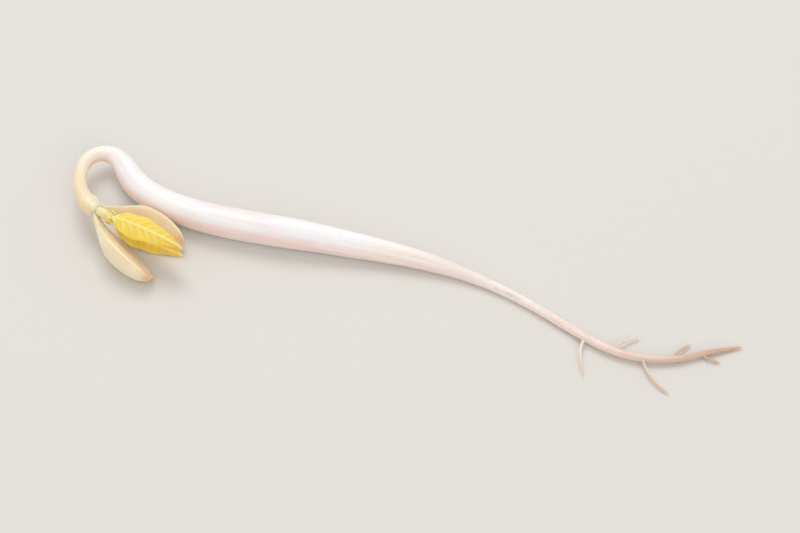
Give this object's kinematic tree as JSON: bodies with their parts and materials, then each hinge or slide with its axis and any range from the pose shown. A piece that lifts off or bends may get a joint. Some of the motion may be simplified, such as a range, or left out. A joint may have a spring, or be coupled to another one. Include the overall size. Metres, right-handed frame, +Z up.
{
  "type": "mung bean sprout",
  "caption": "Mung bean sprout as picked, lying on its side: plump white stem hooked at the top, folded-back head of open bean halves with yellow leaves between, thin tapering root with side rootlets.",
  "frame": {"origin": "on the resting surface, under the middle of the sprout's bounding box", "axes": "+Z up from the resting surface; +X along the sprout, from the hook and head towards the root's tip; the folded-back head lies on the -Y side of the stem"},
  "size_m": [0.0692, 0.0192, 0.0045],
  "materials": {
    "stem_skin": "moist translucent white plant skin with a soft gloss",
    "root_skin": "thin tan to light brown root skin, dull",
    "seed_leaf_flesh": "pale cream-yellow bean flesh, smooth and waxy",
    "shoot_skin": "pale yellow shoot skin",
    "leaf_blade": "bright yellow young leaf, lightly veined"
  },
  "bodies": {
    "root": {"hypocotyl": "stem_skin", "root": "root_skin", "seed_leaf_front": "seed_leaf_flesh", "seed_leaf_back": "seed_leaf_flesh", "shoot": "shoot_skin", "first_leaf_front": "leaf_blade", "first_leaf_back": "leaf_blade"}
  },
  "joints": []
}
